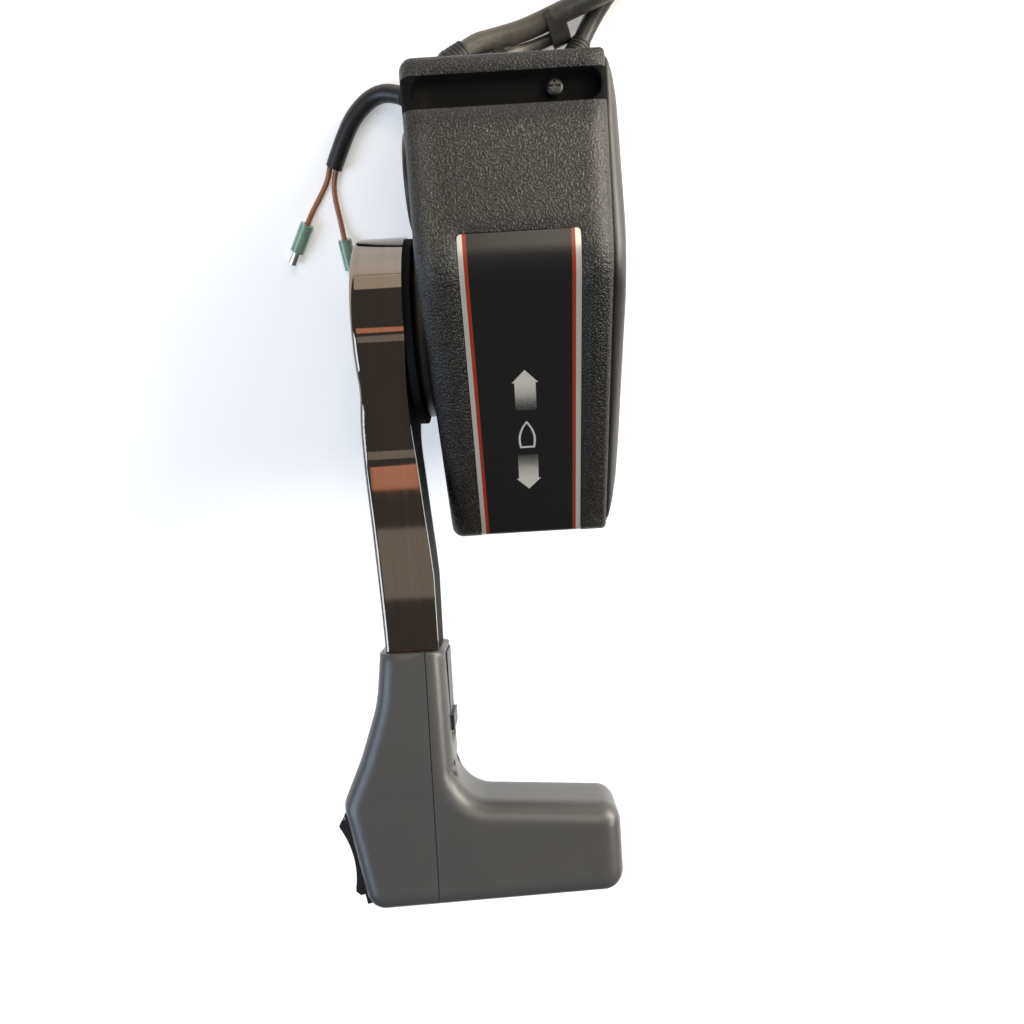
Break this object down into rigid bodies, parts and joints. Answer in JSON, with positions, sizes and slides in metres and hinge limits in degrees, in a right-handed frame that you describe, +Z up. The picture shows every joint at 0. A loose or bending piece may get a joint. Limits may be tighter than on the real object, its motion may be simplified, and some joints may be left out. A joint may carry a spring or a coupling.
{
  "type": "side-mount boat throttle and shift control",
  "caption": "Side-mount boat throttle and shift control: moulded box on the boat's side, chromed lever with grey palm grip, trim rocker and neutral lock, geared to two cable arms.",
  "frame": {"origin": "on the mounting face, on the axis of the lever shaft", "axes": "+X to the bow, +Y to port away from the boat's side, +Z up"},
  "size_m": [0.4283, 0.2316, 0.1828],
  "materials": {
    "black_alloy": "black satin paint on cast alloy",
    "black_screw": "black passivated",
    "button_black": "satin black",
    "decal": "brushed black panel with silver and red stripes",
    "gear_steel": "machined and greased",
    "grip_grey": "soft satin grey",
    "nylon": "natural nylon",
    "rubber_black": "moulded",
    "satin_black": "smooth satin moulded plastic",
    "sleeve_green": "translucent green vinyl",
    "smoked_chrome": "smoked mirror chrome",
    "textured_black": "fine leather-grain moulded ABS",
    "tinned_brass": "tinned",
    "vinyl_black": "vinyl sheath",
    "vinyl_grey": "vinyl sheath",
    "wire_brown": "copper-brown vinyl",
    "zinc_steel": "zinc plated"
  },
  "bodies": {
    "root": {"aft_screw": "black_screw", "branch_gland": "rubber_black", "branch_lead": "vinyl_grey", "case_shell": "textured_black", "chassis_bush": "nylon", "chassis_plate": "zinc_steel", "chassis_screws": "zinc_steel", "dark_cable": "vinyl_black", "dark_cable_gland": "rubber_black", "dark_cable_plug": "rubber_black", "detent_post": "zinc_steel", "detent_roller": "gear_steel", "detent_spring": "zinc_steel", "fascia_plate": "decal", "harness_cable": "vinyl_grey", "harness_coil": "vinyl_grey", "harness_gland": "rubber_black", "harness_plug": "rubber_black", "hub_boss": "satin_black", "hub_bush": "nylon", "lead_bullets": "tinned_brass", "lead_gland": "rubber_black", "lead_sleeves": "sleeve_green", "lead_tube": "vinyl_black", "lead_wire_a": "wire_brown", "lead_wire_b": "wire_brown", "ledge_screw": "black_screw", "neutral_switch": "button_black", "pivot_clips": "zinc_steel", "shift_pivot_pin": "zinc_steel", "switch_hole_plug": "satin_black", "tape_wrap": "vinyl_grey", "throttle_pivot_pin": "zinc_steel", "wall_cover": "satin_black", "warning_buzzer": "satin_black"},
    "lever": {"main_shaft": "zinc_steel", "main_gear": "gear_steel", "lever_arm": "black_alloy", "lever_cover": "smoked_chrome", "lever_washer": "zinc_steel", "lever_bolt": "zinc_steel", "hub_cap": "satin_black", "switch_bezel": "button_black", "rocker_pin": "zinc_steel", "grip_port_half": "grip_grey", "grip_starboard_half": "grip_grey", "grip_screws": "black_screw"},
    "trim_rocker_body": {"trim_rocker": "button_black"},
    "lock_release_body": {"lock_release": "button_black"},
    "throttle_button_body": {"throttle_button": "button_black"},
    "throttle_arm_body": {"throttle_arm": "gear_steel"},
    "shift_arm_body": {"shift_arm": "gear_steel"}
  },
  "joints": [
    {"name": "lever_hinge", "type": "hinge", "parent": "root", "child": "lever", "pos_m": [0, 0.08, 0], "axis": [0, 1, 0], "range_deg": [0, 145]},
    {"name": "trim_rocker_hinge", "type": "hinge", "parent": "lever", "child": "trim_rocker_body", "pos_m": [-0.17843, 0.10799, 0.10301], "axis": [0.5, 0, 0.866], "range_deg": [-7, 7], "stiffness_Nm_per_rad": 0.2},
    {"name": "neutral_lock_slide", "type": "slide", "parent": "lever", "child": "lock_release_body", "axis": [-0.866, 0, 0.5], "range_m": [0, 0.005], "stiffness_N_per_m": 400, "springref_m": -0.003},
    {"name": "throttle_button_slide", "type": "slide", "parent": "lever", "child": "throttle_button_body", "axis": [0, -1, 0], "range_m": [0, 0.003], "stiffness_N_per_m": 400, "springref_m": -0.002},
    {"name": "throttle_arm_hinge", "type": "hinge", "parent": "root", "child": "throttle_arm_body", "pos_m": [0.03263, 0.03, -0.01521], "axis": [0, 1, 0], "range_deg": [-87.5, 0.5]},
    {"name": "shift_arm_hinge", "type": "hinge", "parent": "root", "child": "shift_arm_body", "pos_m": [-0.03263, 0.03, -0.01521], "axis": [0, 1, 0], "range_deg": [-87.5, 0.5]}
  ],
  "couplings": [
    {"joint": "throttle_arm_hinge", "follows": "lever_hinge", "ratio": -0.6},
    {"joint": "shift_arm_hinge", "follows": "lever_hinge", "ratio": -0.6}
  ]
}
